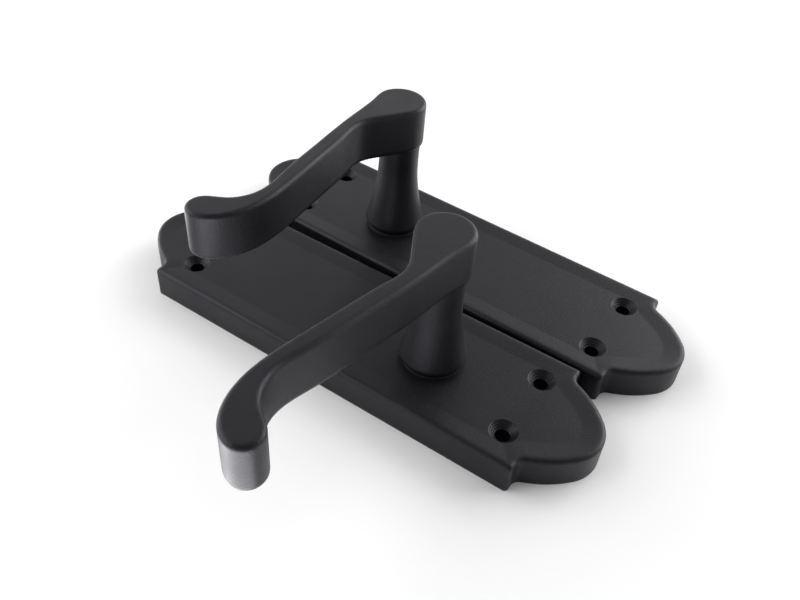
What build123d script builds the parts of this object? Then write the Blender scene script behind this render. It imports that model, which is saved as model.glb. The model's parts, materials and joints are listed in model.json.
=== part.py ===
"""A pair of lever latch handles on shaped backplates, lying face up side by side.

The two handles are a handed pair: the rear one is the mirror image of the front one.
Millimetres, +Z up.  The origin is the centre of the front backplate, at the level of its
back face.  X runs along the front backplate and the levers point to -Y.
"""
from build123d import *
from math import asin, atan2, cos, degrees, hypot, radians, sin
import os

# Backplate outline.
SHOULDER_LENGTH = 134.2
PLATE_WIDTH = 45.8
ARCH_REACH = 16.9
SHOULDER_STEP = 4.83
ARCH_TIP_RADIUS = 12.8
ARCH_TIP_HALF_ANGLE = 40.0
NOTCH_RADIUS = 3.0
CORNER_RADIUS = 1.2

# Backplate section.  The panel lies a little lower than the rim round it.
PLATE_HEIGHT = 10.3
PANEL_DROP = 0.4
RIM_BAND = 6.6
RIM_CREST = 2.0
RIM_ROUND = 1.3
RIM_LIP = 0.38
WALL = 2.4
PANEL_THICKNESS = 2.5
PANEL_TOP = PLATE_HEIGHT - PANEL_DROP
CEILING = PANEL_TOP - PANEL_THICKNESS

# Countersunk wood screw holes, empty.
SCREW_INSET_X = 8.3
SCREW_INSET_Y = 10.8
SCREW_HOLE_RADIUS = 2.2
COUNTERSINK_RADIUS = 4.3
COUNTERSINK_DEPTH = 2.1
SCREW_BOSS_RADIUS = 4.8

# The neck turns about an axis off the plate's centre.
NECK_X = 27.3
RUNNING_GAP = 0.05
SEAT_GAP = 0.02

# Bearing bush, pressed into the plate from the front.
BUSH_BARREL_RADIUS = 8.2
BUSH_FLANGE_RADIUS = 9.4
BUSH_FLANGE_THICKNESS = 0.6
BUSH_END = 4.0
BUSH_TOP = PANEL_TOP + BUSH_FLANGE_THICKNESS

# Lever: a flat-topped arm on a waisted neck, with a round shank behind.
LEVER_TOP = 59.6
LEVER_DEPTH = 15.5
LEVER_TOP_ROUND = 1.2
LEVER_UNDER_ROUND = 2.0
LEVER_BOTTOM = LEVER_TOP - LEVER_DEPTH
# Stations down the middle of the arm: distance aside, distance along, half width.
HEAD_STATION = (0.0, -1.4, 8.5)
ARM_STATIONS = (
    (0.8, -7.0, 6.9),
    (1.9, -12.5, 4.9),
    (3.1, -20.5, 2.75),
    (1.9, -30.0, 2.65),
    (0.2, -40.5, 2.7),
    (-2.2, -55.5, 2.6),
    (-3.6, -69.0, 2.6),
    (-0.75, -77.5, 4.1),
)
TIP_STATION = (4.5, -82.6, 4.8)
HEAD_ANGLES = (195, 150, 105, 60, 15)
TIP_ANGLES = (75, 25, -25, -75)
NECK_BASE_RADIUS = 10.3
NECK_FOOT_RADIUS = 8.6
NECK_FOOT_RISE = 2.4
NECK_BOTTOM = BUSH_TOP + RUNNING_GAP
# Height above the neck's bottom and radius, then height above the lever's underside and radius.
NECK_LOWER = ((6.65, 9.2), (13.45, 7.85))
NECK_UPPER = ((-13.0, 6.95), (-7.0, 6.75), (-2.5, 6.8), (2.0, 6.9))
SHANK_RADIUS = 7.0
SHANK_END = 0.4
FLAT_HALF = 5.8
FLAT_TOP = 3.95
FLAT_WASTE = 4.0
SOCKET_SIDE = 8.1
SOCKET_TOP = 26.0

# Drive plate, keyed to the shank, with a stop lug and a post for the spring.
DRIVE_RADIUS = 13.9
DRIVE_THICKNESS = 1.0
DRIVE_TOP = 3.9
DRIVE_BOTTOM = DRIVE_TOP - DRIVE_THICKNESS
LUG_REACH = 17.3
LUG_WIDTH = 5.0
POST_RADIUS = 1.0
POST_ORBIT = 12.6
POST_HEIGHT = 1.5

# Stop pins, pressed into the ceiling of the plate.
PIN_RADIUS = 1.5
PIN_ORBIT = 15.6
PIN_END = 2.6
PIN_SEAT = 1.3
TRAVEL_ANGLE = 45.0
FREE_PLAY_ANGLE = 1.6
LUG_ANGLE = 67.5
PIN_OFFSET = degrees(asin((LUG_WIDTH / 2 + PIN_RADIUS + RUNNING_GAP) / PIN_ORBIT))
REST_PIN_ANGLE = LUG_ANGLE - FREE_PLAY_ANGLE - PIN_OFFSET
END_PIN_ANGLE = LUG_ANGLE - FREE_PLAY_ANGLE + TRAVEL_ANGLE + PIN_OFFSET

# Return spring, a torsion spring round the bush.  Its heights are counted in wire thicknesses.
COIL_ROOM = CEILING - DRIVE_TOP
WIRES_IN_ROOM = 3.5
WIRES_TO_PITCH = 1.46
WIRES_TO_BASE = 0.85
WIRE_RADIUS = COIL_ROOM / WIRES_IN_ROOM / 2
COIL_RADIUS = 9.9
COIL_TURNS = 1.3
COIL_PITCH = WIRES_TO_PITCH * 2 * WIRE_RADIUS
COIL_BASE = DRIVE_TOP + WIRES_TO_BASE * 2 * WIRE_RADIUS
LEG_REACH_FIXED = 16.6
LEG_REACH_MOVING = 13.6
LEG_FIXED_ANGLE = END_PIN_ANGLE - degrees(asin((PIN_RADIUS + WIRE_RADIUS + SEAT_GAP) / PIN_ORBIT))
LEG_MOVING_ANGLE = LEG_FIXED_ANGLE + 360.0 * COIL_TURNS
POST_ANGLE = LEG_MOVING_ANGLE - degrees(asin((POST_RADIUS + WIRE_RADIUS + SEAT_GAP) / POST_ORBIT))

# Washers and circlip on the end of the shank.
WASHER_THICKNESS = 0.4
WASHER_RADIUS = 9.2
DISC_THICKNESS = 0.35
DISC_HEIGHT = 0.6
DISC_RADIUS = 9.0
CLIP_THICKNESS = 0.8
CLIP_RADIUS = 8.6
CLIP_OPENING_ANGLE = 50.0
CLIP_EAR_RADIUS = 1.5
CLIP_EAR_HOLE = 0.6
CLIP_EAR_SHIFT = 0.3
CLIP_EAR_TURN = 2.0
GROOVE_RADIUS = 6.3
WASHER_BOTTOM = DRIVE_BOTTOM - WASHER_THICKNESS
CLIP_TOP = WASHER_BOTTOM - DISC_HEIGHT

# Cover over the spring, held by two screws.
COVER_TOP = 2.3
COVER_THICKNESS = 0.8
COVER_RADIUS = 16.9
COVER_HOLE_RADIUS = 11.0
COVER_EAR_RADIUS = 4.0
COVER_SCREW_OFFSET = 20.5
COVER_BOSS_RADIUS = 3.2
COVER_BOTTOM = COVER_TOP - COVER_THICKNESS
THREAD_RADIUS = 1.45
THREAD_LENGTH = 3.8
HEAD_RADIUS = 2.6
HEAD_HEIGHT = 1.1
CROSS_LENGTH = 3.0
CROSS_WIDTH = 0.7
CROSS_DEPTH = 0.6

# How the two handles lie.
REAR_X = 7.0
REAR_GAP = 2.45
REAR_Y = PLATE_WIDTH + REAR_GAP
REAR_TURN = -1.55
LEVER_REST_TURN = -FREE_PLAY_ANGLE


def on_axis(shape):
    """Carry a shape drawn round Z to the neck's axis."""
    return Pos(NECK_X, 0, 0) * shape


def disc(radius, low, high, x=0.0, y=0.0):
    """An upright round bar from one height to another."""
    return Pos(x, y, low) * extrude(Circle(radius), high - low)


def at_angle(orbit, angle):
    """Plan position on a circle round the neck's axis."""
    return (orbit * cos(radians(angle)), orbit * sin(radians(angle)))


def arch_side_radius():
    """Radius that carries the arch from its tip arc down to the inner corner of the shoulder."""
    foot_x = ARCH_TIP_RADIUS - ARCH_REACH
    foot_y = PLATE_WIDTH / 2 - SHOULDER_STEP
    lean_x = cos(radians(ARCH_TIP_HALF_ANGLE))
    lean_y = sin(radians(ARCH_TIP_HALF_ANGLE))
    along = foot_x * lean_x + foot_y * lean_y
    spread = foot_x ** 2 + foot_y ** 2 - 2 * ARCH_TIP_RADIUS * along + ARCH_TIP_RADIUS ** 2
    return spread / (2 * (ARCH_TIP_RADIUS - along))


def arch_face():
    """Three-centred arch at the +X end, from shoulder to shoulder."""
    foot_x = SHOULDER_LENGTH / 2
    foot_y = PLATE_WIDTH / 2 - SHOULDER_STEP
    tip_x = foot_x + ARCH_REACH - ARCH_TIP_RADIUS
    side_radius = arch_side_radius()
    step = side_radius - ARCH_TIP_RADIUS
    centre_x = tip_x - step * cos(radians(ARCH_TIP_HALF_ANGLE))
    centre_y = step * sin(radians(ARCH_TIP_HALF_ANGLE))
    foot_angle = degrees(atan2(foot_y + centre_y, foot_x - centre_x))
    sweep_angle = foot_angle - ARCH_TIP_HALF_ANGLE
    arc_tip = CenterArc((tip_x, 0), ARCH_TIP_RADIUS, -ARCH_TIP_HALF_ANGLE, 2 * ARCH_TIP_HALF_ANGLE)
    arc_left = CenterArc((centre_x, -centre_y), side_radius, ARCH_TIP_HALF_ANGLE, sweep_angle)
    arc_right = CenterArc((centre_x, centre_y), side_radius, -foot_angle, sweep_angle)
    chord = Line(arc_left @ 1, arc_right @ 0)
    return make_face([arc_right, arc_tip, arc_left, chord])


def plate_outline():
    """Plan of the backplate: straight sides, square shoulders and an arch at each end."""
    arch = arch_face()
    plan = Rectangle(SHOULDER_LENGTH, PLATE_WIDTH) + arch + mirror(arch, Plane.YZ)
    corners = [v for v in plan.vertices() if abs(v.Y) > PLATE_WIDTH / 2 - CORNER_RADIUS]
    plan = fillet(corners, CORNER_RADIUS)
    shoulder_x = SHOULDER_LENGTH / 2
    notches = [
        v for v in plan.vertices()
        if abs(abs(v.X) - shoulder_x) < SEAT_GAP and abs(v.Y) < PLATE_WIDTH / 2 - 2 * CORNER_RADIUS
    ]
    return fillet(notches, NOTCH_RADIUS)


def screw_centres():
    """The four wood screw holes."""
    x = SHOULDER_LENGTH / 2 - SCREW_INSET_X
    y = PLATE_WIDTH / 2 - SCREW_INSET_Y
    return [(-x, -y), (-x, y), (x, -y), (x, y)]


def make_rim(plan):
    """Raised band round the panel, sloping down to its inner edge."""
    rim = Pos(0, 0, PANEL_TOP) * extrude(plan - offset(plan, -RIM_BAND), PANEL_DROP)
    crest = rim.faces().sort_by(Axis.Z)[-1]
    inner = crest.inner_wires()[0].edges()
    return chamfer(inner, RIM_BAND - RIM_CREST, RIM_LIP, reference=crest)


def make_backplate():
    """Hollow-backed cast plate with its bosses, holes and dished rim."""
    plan = plate_outline()
    body = extrude(plan, PANEL_TOP) + make_rim(plan)
    crest = body.faces().sort_by(Axis.Z)[-1]
    body = fillet(crest.outer_wire().edges(), RIM_ROUND)
    body -= extrude(offset(plan, -WALL), CEILING)
    for x, y in screw_centres():
        body += disc(SCREW_BOSS_RADIUS, 0, PANEL_TOP, x, y)
    for side in (-1, 1):
        x = NECK_X + side * COVER_SCREW_OFFSET
        body += disc(COVER_BOSS_RADIUS, COVER_TOP, PANEL_TOP, x, 0)
        body -= disc(THREAD_RADIUS + SEAT_GAP, COVER_TOP, COVER_BOTTOM + THREAD_LENGTH + SEAT_GAP, x, 0)
    for x, y in screw_centres():
        body -= disc(SCREW_HOLE_RADIUS, 0, PANEL_TOP, x, y)
        cone = Cone(SCREW_HOLE_RADIUS, COUNTERSINK_RADIUS, COUNTERSINK_DEPTH)
        body -= Pos(x, y, PANEL_TOP - COUNTERSINK_DEPTH / 2) * cone
    body -= on_axis(disc(BUSH_BARREL_RADIUS + SEAT_GAP, 0, PANEL_TOP))
    for angle in (REST_PIN_ANGLE, END_PIN_ANGLE):
        x, y = at_angle(PIN_ORBIT, angle)
        body -= on_axis(disc(PIN_RADIUS + SEAT_GAP, 0, CEILING + PIN_SEAT, x, y))
    return body


def arm_outline():
    """Plan of the lever, round the neck's axis, before it is turned."""
    stations = (HEAD_STATION,) + ARM_STATIONS + (TIP_STATION,)
    left = []
    right = []
    for i in range(1, len(stations) - 1):
        ax, ay, _ = stations[i - 1]
        bx, by, _ = stations[i + 1]
        x, y, half = stations[i]
        run = hypot(bx - ax, by - ay)
        nx = -(by - ay) / run
        ny = (bx - ax) / run
        right.append((x + nx * half, y + ny * half))
        left.append((x - nx * half, y - ny * half))
    hx, hy, hr = HEAD_STATION
    head = [(hx + hr * cos(radians(a)), hy + hr * sin(radians(a))) for a in HEAD_ANGLES]
    ex, ey, er = TIP_STATION
    lx, ly, _ = stations[-2]
    lead = degrees(atan2(ey - ly, ex - lx))
    tip = [(ex + er * cos(radians(lead + a)), ey + er * sin(radians(lead + a))) for a in TIP_ANGLES]
    points = head + right + tip + left[::-1]
    return make_face(Spline(points, periodic=True))


def make_arm():
    """Flat-topped arm and head, with rounded edges."""
    arm = Pos(0, 0, LEVER_BOTTOM) * extrude(arm_outline(), LEVER_DEPTH)
    arm = fillet(arm.faces().sort_by(Axis.Z)[-1].edges(), LEVER_TOP_ROUND)
    return fillet(arm.faces().sort_by(Axis.Z)[0].edges(), LEVER_UNDER_ROUND)


def make_neck():
    """Round neck, swelling at its foot and waisted below the head."""
    foot = (NECK_FOOT_RADIUS, NECK_BOTTOM)
    swell = (NECK_BASE_RADIUS, NECK_BOTTOM + NECK_FOOT_RISE)
    side = [swell]
    side += [(radius, NECK_BOTTOM + rise) for rise, radius in NECK_LOWER]
    side += [(radius, LEVER_BOTTOM + rise) for rise, radius in NECK_UPPER]
    top = side[-1][1]
    section = make_face([
        Line((0, NECK_BOTTOM), foot),
        RadiusArc(foot, swell, -NECK_FOOT_RISE),
        Spline(side),
        Line(side[-1], (0, top)),
        Line((0, top), (0, NECK_BOTTOM)),
    ])
    return revolve(Plane.XZ * section, Axis.Z)


def make_shank():
    """Round shank with two flats and a groove near its end."""
    shank = disc(SHANK_RADIUS, SHANK_END, NECK_BOTTOM + 1)
    for side in (-1, 1):
        waste = Box(FLAT_WASTE, 4 * SHANK_RADIUS, FLAT_TOP)
        shank -= Pos(side * (FLAT_HALF + FLAT_WASTE / 2), 0, FLAT_TOP / 2) * waste
    groove = disc(SHANK_RADIUS + 1, CLIP_TOP - CLIP_THICKNESS, CLIP_TOP)
    return shank - (groove - disc(GROOVE_RADIUS, 0, CLIP_TOP + 1))


def make_lever():
    """Arm, head, neck and shank in one casting, with a square socket behind."""
    socket = Pos(0, 0, SOCKET_TOP / 2) * Box(SOCKET_SIDE, SOCKET_SIDE, SOCKET_TOP)
    return make_arm() + make_neck() + make_shank() - socket


def keyed_hole(low, high):
    """Double-flatted bar a little larger than the end of the shank."""
    bar = disc(SHANK_RADIUS + RUNNING_GAP, low, high)
    width = 2 * (FLAT_HALF + RUNNING_GAP)
    return bar & Pos(0, 0, (low + high) / 2) * Box(width, 4 * SHANK_RADIUS, high - low)


def make_drive_plate():
    """Disc keyed to the shank, with its stop lug and spring post."""
    plate = disc(DRIVE_RADIUS, DRIVE_BOTTOM, DRIVE_TOP)
    lug = Box(LUG_REACH, LUG_WIDTH, DRIVE_THICKNESS)
    lug = Pos(LUG_REACH / 2, 0, DRIVE_TOP - DRIVE_THICKNESS / 2) * lug
    plate += Rot(0, 0, LUG_ANGLE) * lug
    x, y = at_angle(POST_ORBIT, POST_ANGLE - FREE_PLAY_ANGLE)
    plate += disc(POST_RADIUS, DRIVE_BOTTOM, DRIVE_TOP + POST_HEIGHT, x, y)
    return plate - keyed_hole(0, PLATE_HEIGHT)


def make_thrust_washer():
    """Flat washer keyed to the shank under the drive plate."""
    return disc(WASHER_RADIUS, WASHER_BOTTOM, DRIVE_BOTTOM) - keyed_hole(0, PLATE_HEIGHT)


def make_spring_washer():
    """Coned disc spring between the thrust washer and the circlip."""
    inner = SHANK_RADIUS + RUNNING_GAP
    rise = DISC_HEIGHT - DISC_THICKNESS
    section = make_face(Polyline(
        (inner, CLIP_TOP),
        (DISC_RADIUS, CLIP_TOP + rise),
        (DISC_RADIUS, CLIP_TOP + DISC_HEIGHT),
        (inner, CLIP_TOP + DISC_THICKNESS),
        close=True,
    ))
    return revolve(Plane.XZ * section, Axis.Z)


def make_circlip():
    """Open ring with two eyes, in the groove of the shank."""
    low = CLIP_TOP - CLIP_THICKNESS
    ring = disc(CLIP_RADIUS, low, CLIP_TOP) - disc(GROOVE_RADIUS + SEAT_GAP, 0, PLATE_HEIGHT)
    half = CLIP_OPENING_ANGLE / 2
    far = 4 * CLIP_RADIUS
    wedge = make_face(Polyline(
        (0, 0),
        (far * cos(radians(half)), -far * sin(radians(half))),
        (far * cos(radians(half)), far * sin(radians(half))),
        close=True,
    ))
    ring -= extrude(wedge, PLATE_HEIGHT)
    orbit = (GROOVE_RADIUS + CLIP_RADIUS) / 2 + CLIP_EAR_SHIFT
    for side in (-1, 1):
        x, y = at_angle(orbit, side * (half + CLIP_EAR_TURN))
        ring += disc(CLIP_EAR_RADIUS, low, CLIP_TOP, x, y)
        ring -= disc(CLIP_EAR_HOLE, 0, PLATE_HEIGHT, x, y)
    return ring - disc(GROOVE_RADIUS + SEAT_GAP, 0, PLATE_HEIGHT)


def make_bush():
    """Flanged sleeve that the shank turns in."""
    bush = disc(BUSH_BARREL_RADIUS, BUSH_END, PANEL_TOP)
    bush += disc(BUSH_FLANGE_RADIUS, PANEL_TOP, BUSH_TOP)
    return bush - disc(SHANK_RADIUS + RUNNING_GAP, 0, PLATE_HEIGHT + 1)


def make_stop_pins():
    """Two pins that the lug of the drive plate swings between."""
    pins = []
    for angle in (REST_PIN_ANGLE, END_PIN_ANGLE):
        x, y = at_angle(PIN_ORBIT, angle)
        pins.append(disc(PIN_RADIUS, PIN_END, CEILING + PIN_SEAT, x, y))
    return pins[0] + pins[1]


def make_return_spring():
    """Torsion spring: a short coil with a straight leg at each end."""
    rise = COIL_PITCH * COIL_TURNS
    path = Helix(COIL_PITCH, rise, COIL_RADIUS, lefthand=True)
    coil = sweep(Plane(path @ 0, z_dir=path % 0) * Circle(WIRE_RADIUS), path, is_frenet=True)
    spring = Pos(0, 0, COIL_BASE) * Rot(0, 0, LEG_MOVING_ANGLE) * coil
    legs = (
        (LEG_MOVING_ANGLE, COIL_BASE, LEG_REACH_MOVING),
        (LEG_FIXED_ANGLE, COIL_BASE + rise, LEG_REACH_FIXED),
    )
    for angle, height, reach in legs:
        length = reach - COIL_RADIUS
        leg = Pos(COIL_RADIUS + length / 2, 0, 0) * Rot(0, 90, 0) * Cylinder(WIRE_RADIUS, length)
        leg += Pos(COIL_RADIUS, 0, 0) * Sphere(WIRE_RADIUS)
        spring += Pos(0, 0, height) * Rot(0, 0, angle) * leg
    return spring


def make_cover():
    """Pressed cover over the spring, open round the end of the shank."""
    plan = Circle(COVER_RADIUS) + SlotCenterToCenter(2 * COVER_SCREW_OFFSET, 2 * COVER_EAR_RADIUS)
    plan -= Circle(COVER_HOLE_RADIUS)
    for side in (-1, 1):
        plan -= Pos(side * COVER_SCREW_OFFSET, 0) * Circle(THREAD_RADIUS + SEAT_GAP)
    return Pos(0, 0, COVER_BOTTOM) * extrude(plan, COVER_THICKNESS)


def make_cover_screws():
    """Two pan head screws with cross recesses."""
    low = COVER_BOTTOM - HEAD_HEIGHT
    screws = []
    for side in (-1, 1):
        head = disc(HEAD_RADIUS, low, COVER_BOTTOM)
        head = fillet(head.edges().sort_by(Axis.Z)[:1], HEAD_HEIGHT / 3)
        for turn in (0, 90):
            slot = Pos(0, 0, low) * Box(CROSS_LENGTH, CROSS_WIDTH, 2 * CROSS_DEPTH)
            head -= Rot(0, 0, turn) * slot
        screw = head + disc(THREAD_RADIUS, COVER_BOTTOM, COVER_BOTTOM + THREAD_LENGTH)
        screws.append(Pos(side * COVER_SCREW_OFFSET, 0, 0) * screw)
    return screws[0] + screws[1]


def place_rear(shape):
    """Mirror a front piece and lay it where the rear handle lies."""
    return Pos(REAR_X, REAR_Y, 0) * Rot(0, 0, REAR_TURN) * mirror(shape, Plane.YZ)


def turned(shape, angle):
    """Turn a piece of the lever about the neck's axis and carry it there."""
    return on_axis(Rot(0, 0, angle) * shape)


os.makedirs("parts", exist_ok=True)

fixed_pieces = {
    "bearing_bush": make_bush(),
    "stop_pins": make_stop_pins(),
    "return_spring": make_return_spring(),
    "spring_cover": make_cover(),
    "cover_screws": make_cover_screws(),
}
turning_pieces = {
    "lever": make_lever(),
    "drive_plate": make_drive_plate(),
    "thrust_washer": make_thrust_washer(),
    "spring_washer": make_spring_washer(),
    "circlip": make_circlip(),
}
backplate = make_backplate()

export_step(backplate, "parts/front_backplate.step")
export_step(place_rear(backplate), "parts/rear_backplate.step")
for name, piece in fixed_pieces.items():
    export_step(on_axis(piece), "parts/front_" + name + ".step")
    export_step(place_rear(on_axis(piece)), "parts/rear_" + name + ".step")
for name, piece in turning_pieces.items():
    export_step(turned(piece, LEVER_REST_TURN), "parts/front_" + name + ".step")
    export_step(place_rear(turned(piece, -LEVER_REST_TURN)), "parts/rear_" + name + ".step")
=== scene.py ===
"""Dresses a handed pair of lever latch handles in satin black, with their works behind."""
import json
from math import atan2, radians, tau

import bmesh
import bpy
from bpy.props import FloatProperty, FloatVectorProperty, PointerProperty
from bpy.types import NodeSocket, Operator, Panel, PropertyGroup
from mathutils import Matrix, Vector

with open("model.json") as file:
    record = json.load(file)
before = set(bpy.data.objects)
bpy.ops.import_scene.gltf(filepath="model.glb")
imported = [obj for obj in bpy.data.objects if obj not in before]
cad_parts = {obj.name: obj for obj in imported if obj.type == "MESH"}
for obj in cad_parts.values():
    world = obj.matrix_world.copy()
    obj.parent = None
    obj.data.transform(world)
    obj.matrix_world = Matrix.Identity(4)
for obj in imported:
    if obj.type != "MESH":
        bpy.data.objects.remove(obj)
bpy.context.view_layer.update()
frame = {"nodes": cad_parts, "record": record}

bl_info = {
    "name": "Lever latch handles",
    "version": (1, 0, 0),
    "blender": (4, 5, 0),
    "location": "View3D > Sidebar > Handles",
    "description": "Dresses a handed pair of lever latch handles on shaped backplates",
    "category": "Object",
}

SIDES = ("front", "rear")
MM = 0.001

# Screw holes of the backplates. The rear plate's first and third lie on a line along it.
MOUNTS = {mount["name"]: mount for mount in frame["record"]["mounts"]}
FRONT_HOLES = MOUNTS["front_screw_holes"]
HOLE_X = FRONT_HOLES["dims"]["spacing_x_mm"] / 2 * MM
HOLE_Y = FRONT_HOLES["dims"]["spacing_y_mm"] / 2 * MM
REAR_HOLES = [Vector(MOUNTS[f"rear_screw_hole_{number}"]["pos_m"]) for number in (1, 2, 3, 4)]
REAR_LENGTHWISE = REAR_HOLES[2] - REAR_HOLES[0]

# Where the middle of each backplate lies, and how it is turned.
PLATE_PLACES = {
    "front": (Vector(FRONT_HOLES["pos_m"]), 0.0),
    "rear": (sum(REAR_HOLES, Vector()) / 4, atan2(REAR_LENGTHWISE.y, REAR_LENGTHWISE.x)),
}

# The cone at each screw hole, its turning rings, and how far out the edges stay crisp.
CONE_RADIUS = 4.3 * MM
RING_PITCH = 0.55 * MM
CRISP_RADIUS = 5.3 * MM

# The side of the room that is dim, over the camera, and how much light is left there.
DIM_SIDE = Vector((0.3, -0.55, 0.78)).normalized()
DIM_LIGHT = 0.25

# The two big lamps: the point among the handles that they face, and their size.
SOFTBOX_AIM = (0.0, 0.0, 0.03)
SOFTBOX_SIZE = (1.2, 0.9)
# How far the floor reaches from the middle, and the camera's sensor in millimetres.
FLOOR_REACH = 3.0
SENSOR_WIDTH = 36.0
# How much brighter the works are where their edges are rubbed.
RUBBED_GAIN = 1.6
# The value that a noise texture wanders about.
NOISE_MIDDLE = 0.5


class HandleFinish(PropertyGroup):
    """Colours and surface of the coated castings and the works behind them."""

    coat_colour: FloatVectorProperty(
        name="Coat colour",
        description="Colour of the satin black coating",
        subtype="COLOR",
        default=(0.004, 0.004, 0.0046),
    )
    coat_roughness: FloatProperty(
        name="Coat roughness",
        description="How satin the coating is, before its grain",
        default=0.42,
        min=0.0,
        max=1.0,
    )
    coat_sheen: FloatVectorProperty(
        name="Coat sheen",
        description="Tint of what the coating mirrors",
        subtype="COLOR",
        default=(0.535, 0.53, 0.62),
    )
    coat_grain_size: FloatProperty(
        name="Coat grain",
        description="Width of one grain of the coating's fine texture",
        default=0.5 * MM,
        subtype="DISTANCE",
        unit="LENGTH",
    )
    coat_softness: FloatProperty(
        name="Coat softness",
        description="Radius over which the coating rounds off edges and corners",
        default=1.2 * MM,
        subtype="DISTANCE",
        unit="LENGTH",
    )
    # Lighter coating along the edges: rubbed wear, and also a painted edge highlight.
    edge_wear_and_highlight_colour: FloatVectorProperty(
        name="Edge colour",
        description="Colour of the coating where it is rubbed thin along the edges",
        subtype="COLOR",
        default=(0.011, 0.011, 0.012),
    )
    dust_colour: FloatVectorProperty(
        name="Dust colour",
        description="Colour of the faint dust that settles on what faces up",
        subtype="COLOR",
        default=(0.16, 0.155, 0.15),
    )
    zinc_colour: FloatVectorProperty(
        name="Zinc colour",
        description="Colour of the zinc plated steel",
        subtype="COLOR",
        default=(0.46, 0.47, 0.46),
    )
    spring_colour: FloatVectorProperty(
        name="Spring colour",
        description="Colour of the oiled spring steel",
        subtype="COLOR",
        default=(0.2, 0.195, 0.185),
    )
    clip_colour: FloatVectorProperty(
        name="Clip colour",
        description="Colour of the blackened circlip",
        subtype="COLOR",
        default=(0.07, 0.068, 0.066),
    )
    washer_colour: FloatVectorProperty(
        name="Washer colour",
        description="Colour of the nylon thrust washer",
        subtype="COLOR",
        default=(0.62, 0.6, 0.54),
    )
    bush_colour: FloatVectorProperty(
        name="Bush colour",
        description="Colour of the nylon bush under the neck",
        subtype="COLOR",
        default=(0.012, 0.012, 0.012),
    )


class StudioSettings(PropertyGroup):
    """The camera's lens, place and aim, and the floor's colour."""

    lens: FloatProperty(
        name="Lens",
        description="Focal length of the camera on a 36 mm wide sensor",
        default=36.82,
        subtype="DISTANCE_CAMERA",
        unit="CAMERA",
    )
    camera_place: FloatVectorProperty(
        name="Camera place",
        description="Where the camera stands",
        default=(0.1057, -0.1550, 0.1905),
        subtype="XYZ",
        unit="LENGTH",
    )
    camera_aim: FloatVectorProperty(
        name="Camera aim",
        description="The point that the camera looks at",
        default=(0.01089, 0.00555, 0.02),
        subtype="XYZ",
        unit="LENGTH",
    )
    camera_roll: FloatProperty(
        name="Camera roll",
        description="How far the camera is tilted to one side",
        default=radians(5.1),
        subtype="ANGLE",
        unit="ROTATION",
    )
    floor_colour: FloatVectorProperty(
        name="Floor colour",
        description="Colour of the floor under the handles",
        subtype="COLOR",
        default=(0.95, 0.95, 0.95),
    )


def feed(tree, socket, value):
    """Links a socket to another one, or gives it a plain value."""
    if isinstance(value, NodeSocket):
        tree.links.new(value, socket)
    else:
        socket.default_value = value


def add_math(tree, operation, first, second=None, clamp=False):
    """A maths node fed from sockets or plain numbers, giving its output socket."""
    node = tree.nodes.new("ShaderNodeMath")
    node.operation = operation
    node.use_clamp = clamp
    feed(tree, node.inputs[0], first)
    if second is not None:
        feed(tree, node.inputs[1], second)
    return node.outputs[0]


def add_dot(tree, first, second):
    """The dot product of two vectors, giving its socket."""
    node = tree.nodes.new("ShaderNodeVectorMath")
    node.operation = "DOT_PRODUCT"
    feed(tree, node.inputs[0], first)
    feed(tree, node.inputs[1], second)
    return node.outputs["Value"]


def add_noise(tree, place, scale, detail, roughness=0.5):
    """A noise texture over the given coordinates, giving its value socket."""
    node = tree.nodes.new("ShaderNodeTexNoise")
    node.inputs["Detail"].default_value = detail
    node.inputs["Roughness"].default_value = roughness
    feed(tree, node.inputs["Vector"], place)
    feed(tree, node.inputs["Scale"], scale)
    return node.outputs["Fac"]


def add_range(tree, value, low, high, to_low=0.0, to_high=1.0):
    """A value carried from one span to another, giving its socket."""
    node = tree.nodes.new("ShaderNodeMapRange")
    feed(tree, node.inputs["Value"], value)
    for label, number in (
        ("From Min", low),
        ("From Max", high),
        ("To Min", to_low),
        ("To Max", to_high),
    ):
        node.inputs[label].default_value = number
    return node.outputs["Result"]


def add_mix(tree, factor, first, second):
    """Two colours mixed by a factor socket, giving the colour socket."""
    node = tree.nodes.new("ShaderNodeMix")
    node.data_type = "RGBA"
    feed(tree, node.inputs["Factor"], factor)
    for label, colour in (("A", first), ("B", second)):
        socket = [s for s in node.inputs if s.name == label and s.type == "RGBA"][0]
        feed(tree, socket, colour if isinstance(colour, NodeSocket) else (*colour, 1.0))
    return [s for s in node.outputs if s.type == "RGBA"][0]


def add_bevel(tree, radius, samples):
    """The normal that edges rounded by a radius would have, giving its socket."""
    node = tree.nodes.new("ShaderNodeBevel")
    node.samples = samples
    feed(tree, node.inputs["Radius"], radius)
    return node.outputs["Normal"]


def split_vector(tree, vector):
    """The X, Y and Z sockets of a vector."""
    node = tree.nodes.new("ShaderNodeSeparateXYZ")
    feed(tree, node.inputs[0], vector)
    return node.outputs


def object_place(tree):
    """The object's own coordinates."""
    return tree.nodes.new("ShaderNodeTexCoord").outputs["Object"]


def true_normal(tree):
    """The surface's own normal."""
    return tree.nodes.new("ShaderNodeNewGeometry").outputs["Normal"]


def new_group(name, inputs, outputs):
    """A shader node group with number sockets, and its input and output nodes."""
    group = bpy.data.node_groups.new(name, "ShaderNodeTree")
    for label, default in inputs.items():
        socket = group.interface.new_socket(
            name=label, in_out="INPUT", socket_type="NodeSocketFloat"
        )
        socket.default_value = default
    for label in outputs:
        group.interface.new_socket(name=label, in_out="OUTPUT", socket_type="NodeSocketFloat")
    return group, group.nodes.new("NodeGroupInput"), group.nodes.new("NodeGroupOutput")


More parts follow.
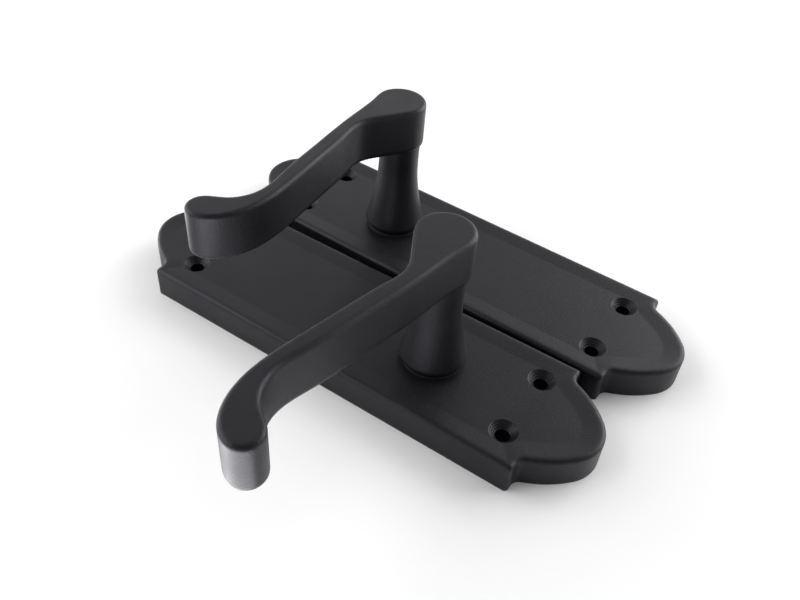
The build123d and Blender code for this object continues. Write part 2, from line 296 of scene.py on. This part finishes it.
def surface_grain_group(name):
    """Fine grain with slow unevenness: a height, and a shift that runs about zero."""
    group, taken, given = new_group(
        name, {"Grains per metre": 2000.0, "Patches per metre": 90.0}, ("Height", "Shift")
    )
    place = object_place(group)
    height = add_noise(
        group, place, taken.outputs["Grains per metre"], detail=2.0, roughness=0.55
    )
    patches = add_noise(group, place, taken.outputs["Patches per metre"], detail=4.0)
    group.links.new(height, given.inputs["Height"])
    group.links.new(add_math(group, "SUBTRACT", patches, NOISE_MIDDLE), given.inputs["Shift"])
    return group


def edge_wear_and_highlight_group(name):
    """Mask of the edges that hands and cloths rub, broken up by noise: rubbed wear, and on the
    coating also a painted edge highlight.
    """
    group, taken, given = new_group(name, {"Width": 0.5 * MM, "Amount": 1.0}, ("Wear and highlight",))
    rounded = add_bevel(group, taken.outputs["Width"], samples=4)
    flatness = add_dot(group, rounded, true_normal(group))
    sharp = add_range(group, flatness, low=0.995, high=0.85)
    blotches = add_noise(group, object_place(group), scale=700.0, detail=5.0, roughness=0.65)
    broken = add_range(group, blotches, low=0.35, high=0.65, to_low=0.25)
    mask = add_math(group, "MULTIPLY", sharp, broken)
    edge_mask = add_math(group, "MULTIPLY", mask, taken.outputs["Amount"], clamp=True)
    group.links.new(edge_mask, given.inputs["Wear and highlight"])
    return group


def dust_film_group(name):
    """Mask of faint dust on what faces up."""
    group, taken, given = new_group(name, {"Amount": 0.1}, ("Dust",))
    upward = add_range(group, split_vector(group, true_normal(group))["Z"], low=0.5, high=1.0)
    place = object_place(group)
    cloud = add_noise(group, place, scale=60.0, detail=5.0, roughness=0.6)
    points = add_noise(group, place, scale=2600.0, detail=2.0, roughness=0.6)
    film = add_range(group, cloud, low=0.3, high=0.75)
    specks = add_range(group, points, low=0.62, high=0.74)
    settled = add_math(group, "MULTIPLY", add_math(group, "ADD", film, specks), upward)
    dust = add_math(group, "MULTIPLY", settled, taken.outputs["Amount"], clamp=True)
    group.links.new(dust, given.inputs["Dust"])
    return group


GROUP_MAKERS = {
    "surface_grain": surface_grain_group,
    "edge_wear_and_highlight": edge_wear_and_highlight_group,
    "dust_film": dust_film_group,
}


def place_group(tree, name, values):
    """A shared node group in a material, made on first use, with this material's own values."""
    node = tree.nodes.new("ShaderNodeGroup")
    node.node_tree = bpy.data.node_groups.get(name) or GROUP_MAKERS[name](name)
    for label, value in values.items():
        node.inputs[label].default_value = value
    return node.outputs


def new_material(name, colour, roughness, metallic=0.0):
    """A material with one Principled shader."""
    material = bpy.data.materials.new(name)
    material.use_nodes = True
    shader = material.node_tree.nodes["Principled BSDF"]
    shader.inputs["Base Color"].default_value = (*colour, 1.0)
    shader.inputs["Roughness"].default_value = roughness
    shader.inputs["Metallic"].default_value = metallic
    return material, shader


def wander(tree, base, shift, spread, clamp=False):
    """A number that wanders about its base with a shift."""
    return add_math(tree, "ADD", add_math(tree, "MULTIPLY", shift, spread), base, clamp)


def finish_roughness(tree, shader, base, shift, spread):
    """Roughness that wanders about its base."""
    tree.links.new(wander(tree, base, shift, spread, clamp=True), shader.inputs["Roughness"])


def uneven_colour(tree, colour, shift, spread):
    """A colour that is lighter and darker in patches."""
    shade = tree.nodes.new("ShaderNodeHueSaturation")
    shade.inputs["Color"].default_value = (*colour, 1.0)
    tree.links.new(wander(tree, 1.0, shift, spread), shade.inputs["Value"])
    return shade.outputs["Color"]


def finish_bump(tree, shader, height, strength, depth, softness=None):
    """Bump from a height socket, over edges that are softened by a radius socket."""
    bump = tree.nodes.new("ShaderNodeBump")
    if softness is not None:
        tree.links.new(add_bevel(tree, softness, samples=6), bump.inputs["Normal"])
    bump.inputs["Strength"].default_value = strength
    bump.inputs["Distance"].default_value = depth
    tree.links.new(height, bump.inputs["Height"])
    tree.links.new(bump.outputs["Normal"], shader.inputs["Normal"])


def hole_distance(tree, side):
    """Distance from the nearest screw hole's axis on one backplate."""
    middle, turn = PLATE_PLACES[side]
    own = tree.nodes.new("ShaderNodeMapping")
    own.vector_type = "TEXTURE"
    own.inputs["Location"].default_value = middle
    own.inputs["Rotation"].default_value = (0.0, 0.0, turn)
    tree.links.new(object_place(tree), own.inputs["Vector"])
    parts = split_vector(tree, own.outputs["Vector"])
    squares = []
    for label, distance in (("X", HOLE_X), ("Y", HOLE_Y)):
        aside = add_math(tree, "SUBTRACT", add_math(tree, "ABSOLUTE", parts[label]), distance)
        squares.append(add_math(tree, "MULTIPLY", aside, aside))
    return add_math(tree, "SQRT", add_math(tree, "ADD", *squares))


def cone_rings(tree, radius, height=0.5):
    """Fine turning rings inside the countersinks, as a height."""
    rings = add_math(tree, "SINE", add_math(tree, "MULTIPLY", radius, tau / RING_PITCH))
    inside = add_math(tree, "LESS_THAN", radius, CONE_RADIUS)
    return add_math(tree, "MULTIPLY", add_math(tree, "MULTIPLY", rings, inside), height)


def coat_material(name, finish, plate_side=None):
    """Satin black coating over a casting."""
    material, shader = new_material(name, finish.coat_colour, finish.coat_roughness)
    shader.inputs["Specular Tint"].default_value = (*finish.coat_sheen, 1.0)
    tree = material.node_tree
    grain = place_group(tree, "surface_grain", {"Grains per metre": 1.0 / finish.coat_grain_size})
    # Edges lighter by the mask: rubbed wear of the coating, and also a painted edge highlight.
    edge_mask = place_group(tree, "edge_wear_and_highlight", {"Amount": 0.3})
    dust = place_group(tree, "dust_film", {"Amount": 0.02})
    rubbed = add_mix(tree, edge_mask["Wear and highlight"], finish.coat_colour, finish.edge_wear_and_highlight_colour)
    dusted = add_mix(tree, dust["Dust"], rubbed, finish.dust_colour)
    tree.links.new(dusted, shader.inputs["Base Color"])
    finish_roughness(tree, shader, finish.coat_roughness, grain["Shift"], spread=0.3)
    height = grain["Height"]
    softness = finish.coat_softness
    if plate_side:
        radius = hole_distance(tree, plate_side)
        height = add_math(tree, "ADD", height, cone_rings(tree, radius))
        beyond = add_math(tree, "GREATER_THAN", radius, CRISP_RADIUS)
        softness = add_math(tree, "MULTIPLY", beyond, softness)
    finish_bump(tree, shader, height, strength=0.8, depth=0.08 * MM, softness=softness)
    return material


def bush_material(finish, roughness=0.55):
    """Black moulded nylon of the bush."""
    material, shader = new_material("black_nylon", finish.bush_colour, roughness)
    tree = material.node_tree
    grain = place_group(
        tree, "surface_grain", {"Grains per metre": 3200.0, "Patches per metre": 200.0}
    )
    dust = place_group(tree, "dust_film", {"Amount": 0.04})
    dusted = add_mix(tree, dust["Dust"], finish.bush_colour, finish.dust_colour)
    tree.links.new(dusted, shader.inputs["Base Color"])
    finish_roughness(tree, shader, roughness, grain["Shift"], spread=0.2)
    finish_bump(tree, shader, grain["Height"], strength=0.3, depth=0.03 * MM)
    return material


def washer_material(finish, roughness=0.45):
    """Natural nylon of the thrust washer, a little translucent."""
    material, shader = new_material("natural_nylon", finish.washer_colour, roughness)
    tree = material.node_tree
    shader.inputs["Subsurface Weight"].default_value = 0.15
    shader.inputs["Subsurface Radius"].default_value = (0.8 * MM, 0.7 * MM, 0.5 * MM)
    grain = place_group(
        tree, "surface_grain", {"Grains per metre": 1800.0, "Patches per metre": 260.0}
    )
    shade = uneven_colour(tree, finish.washer_colour, grain["Shift"], spread=0.3)
    tree.links.new(shade, shader.inputs["Base Color"])
    finish_roughness(tree, shader, roughness, grain["Shift"], spread=0.25)
    finish_bump(tree, shader, grain["Height"], strength=0.25, depth=0.03 * MM)
    return material


def drawn_lines(tree, stretch):
    """Fine lines left by rolling or drawing, long on the axis with the small scale."""
    mapping = tree.nodes.new("ShaderNodeMapping")
    mapping.inputs["Scale"].default_value = stretch
    tree.links.new(object_place(tree), mapping.inputs["Vector"])
    place = mapping.outputs["Vector"]
    return add_noise(tree, place, scale=3000.0, detail=3.0, roughness=0.6)


def steel_material(name, colour, roughness, stretch):
    """Metal of one of the works: drawn or rolled lines, uneven sheen and brighter edges."""
    material, shader = new_material(name, colour, roughness, metallic=1.0)
    tree = material.node_tree
    grain = place_group(
        tree, "surface_grain", {"Grains per metre": 1500.0, "Patches per metre": 220.0}
    )
    edge_mask = place_group(tree, "edge_wear_and_highlight", {"Width": 0.2 * MM, "Amount": 0.6})
    bright = [min(1.0, channel * RUBBED_GAIN) for channel in colour]
    shade = uneven_colour(tree, colour, grain["Shift"], spread=0.7)
    tree.links.new(add_mix(tree, edge_mask["Wear and highlight"], shade, bright), shader.inputs["Base Color"])
    finish_roughness(tree, shader, roughness, grain["Shift"], spread=0.35)
    pits = add_math(tree, "MULTIPLY", grain["Height"], 0.4)
    height = add_math(tree, "ADD", drawn_lines(tree, stretch), pits)
    finish_bump(tree, shader, height, strength=0.35, depth=0.02 * MM)
    return material


def dress(node, material):
    """One material over the whole of a CAD node."""
    slots = frame["nodes"][node].data.materials
    slots.clear()
    slots.append(material)


def dress_both(material, *pieces):
    """One material over the same pieces of either handle."""
    for piece in pieces:
        for side in SIDES:
            dress(f"{side}_{piece}", material)


class HANDLES_OT_castings(Operator):
    """Coat the backplates and levers in satin black, over their black bushes"""

    bl_idname = "handles.castings"
    bl_label = "Castings"

    def execute(self, context):
        finish = context.scene.handle_finish
        dress_both(coat_material("satin_black_lever", finish), "lever")
        dress_both(bush_material(finish), "bearing_bush")
        for side in SIDES:
            coat = coat_material(f"satin_black_{side}_plate", finish, side)
            dress(f"{side}_backplate", coat)
        return {"FINISHED"}


class HANDLES_OT_works(Operator):
    """Finish the works behind the plates"""

    bl_idname = "handles.works"
    bl_label = "Works"

    def execute(self, context):
        finish = context.scene.handle_finish
        zinc = steel_material(
            "zinc_plate", finish.zinc_colour, roughness=0.34, stretch=(0.08, 1.0, 1.0)
        )
        spring = steel_material(
            "spring_steel", finish.spring_colour, roughness=0.3, stretch=(1.0, 1.0, 0.2)
        )
        clip = steel_material(
            "blackened_steel", finish.clip_colour, roughness=0.42, stretch=(1.0, 0.1, 1.0)
        )
        pin = steel_material(
            "turned_steel", finish.zinc_colour, roughness=0.28, stretch=(0.1, 0.1, 1.0)
        )
        dress_both(zinc, "spring_cover", "cover_screws", "drive_plate")
        dress_both(spring, "return_spring", "spring_washer")
        dress_both(clip, "circlip")
        dress_both(pin, "stop_pins")
        dress_both(washer_material(finish), "thrust_washer")
        return {"FINISHED"}


def new_object(name, data):
    """An object that isn't part of the handles, linked to the scene."""
    added = bpy.data.objects.new(name, data)
    bpy.context.scene.collection.objects.link(added)
    return added


def add_camera(studio):
    """The photograph's camera, with its small roll."""
    data = bpy.data.cameras.new("camera")
    data.sensor_width = SENSOR_WIDTH
    data.lens = studio.lens
    data.clip_start = 0.01
    data.clip_end = 20.0
    camera = new_object("camera", data)
    place = Vector(studio.camera_place)
    forward = (Vector(studio.camera_aim) - place).normalized()
    level = forward.cross(Vector((0, 0, 1))).normalized()
    right = Matrix.Rotation(-studio.camera_roll, 3, forward) @ level
    up = right.cross(forward)
    turn = Matrix((right, up, -forward)).transposed()
    camera.matrix_world = Matrix.Translation(place) @ turn.to_4x4()
    bpy.context.scene.camera = camera


def add_lamp(name, place, size, power, aim=None):
    """A rectangular lamp that the camera doesn't see, facing straight up if it has no aim."""
    data = bpy.data.lights.new(name, "AREA")
    data.shape = "RECTANGLE"
    data.size, data.size_y = size
    data.energy = power
    lamp = new_object(name, data)
    lamp.visible_camera = False
    lamp.location = place
    facing = Vector(aim) - Vector(place) if aim else Vector((0, 0, 1))
    lamp.rotation_euler = facing.to_track_quat("-Z", "Y").to_euler()


def add_floor(studio):
    """White floor under the handles."""
    mesh = bpy.data.meshes.new("floor")
    bm = bmesh.new()
    bmesh.ops.create_grid(bm, x_segments=1, y_segments=1, size=FLOOR_REACH)
    bm.to_mesh(mesh)
    bm.free()
    floor = new_object("floor", mesh)
    material, _ = new_material("floor_white", studio.floor_colour, roughness=0.9)
    mesh.materials.append(material)


def light_room():
    """White room around the handles, dim over the camera."""
    world = bpy.data.worlds.new("studio")
    bpy.context.scene.world = world
    world.use_nodes = True
    tree = world.node_tree
    direction = tree.nodes.new("ShaderNodeTexCoord").outputs["Generated"]
    toward = add_dot(tree, direction, DIM_SIDE)
    light = add_range(tree, toward, low=-0.1, high=0.95, to_low=1.0, to_high=DIM_LIGHT)
    room = tree.nodes["Background"]
    room.inputs["Color"].default_value = (1, 1, 1, 1)
    tree.links.new(light, room.inputs["Strength"])


class HANDLES_OT_stage(Operator):
    """Set the floor, the lamps and the camera"""

    bl_idname = "handles.stage"
    bl_label = "Stage"

    def execute(self, context):
        studio = context.scene.handle_studio
        add_floor(studio)
        add_camera(studio)
        add_lamp("left_softbox", (-0.75, -0.4, 0.5), SOFTBOX_SIZE, power=9.0, aim=SOFTBOX_AIM)
        add_lamp("right_softbox", (0.55, 0.95, 0.5), SOFTBOX_SIZE, power=12.5, aim=SOFTBOX_AIM)
        add_lamp("left_panel", (-0.155, -0.02, 0.002), size=(0.1, 0.16), power=0.2)
        add_lamp("low_panel", (0.02, -0.225, 0.002), size=(0.12, 0.27), power=0.5)
        light_room()
        context.scene.view_settings.view_transform = "Standard"
        return {"FINISHED"}


class HANDLES_PT_panel(Panel):
    """The steps that dress the handles"""

    bl_label = "Lever latch handles"
    bl_idname = "HANDLES_PT_panel"
    bl_space_type = "VIEW_3D"
    bl_region_type = "UI"
    bl_category = "Handles"

    def draw(self, context):
        column = self.layout.column()
        column.operator("handles.castings")
        column.operator("handles.works")
        column.operator("handles.stage")


CLASSES = (
    HandleFinish,
    StudioSettings,
    HANDLES_OT_castings,
    HANDLES_OT_works,
    HANDLES_OT_stage,
    HANDLES_PT_panel,
)


def register():
    for cls in CLASSES:
        bpy.utils.register_class(cls)
    bpy.types.Scene.handle_finish = PointerProperty(type=HandleFinish)
    bpy.types.Scene.handle_studio = PointerProperty(type=StudioSettings)


def unregister():
    del bpy.types.Scene.handle_studio
    del bpy.types.Scene.handle_finish
    for cls in reversed(CLASSES):
        bpy.utils.unregister_class(cls)


def main():
    register()
    bpy.ops.handles.castings()
    bpy.ops.handles.works()
    bpy.ops.handles.stage()


if __name__ == "__main__":
    main()
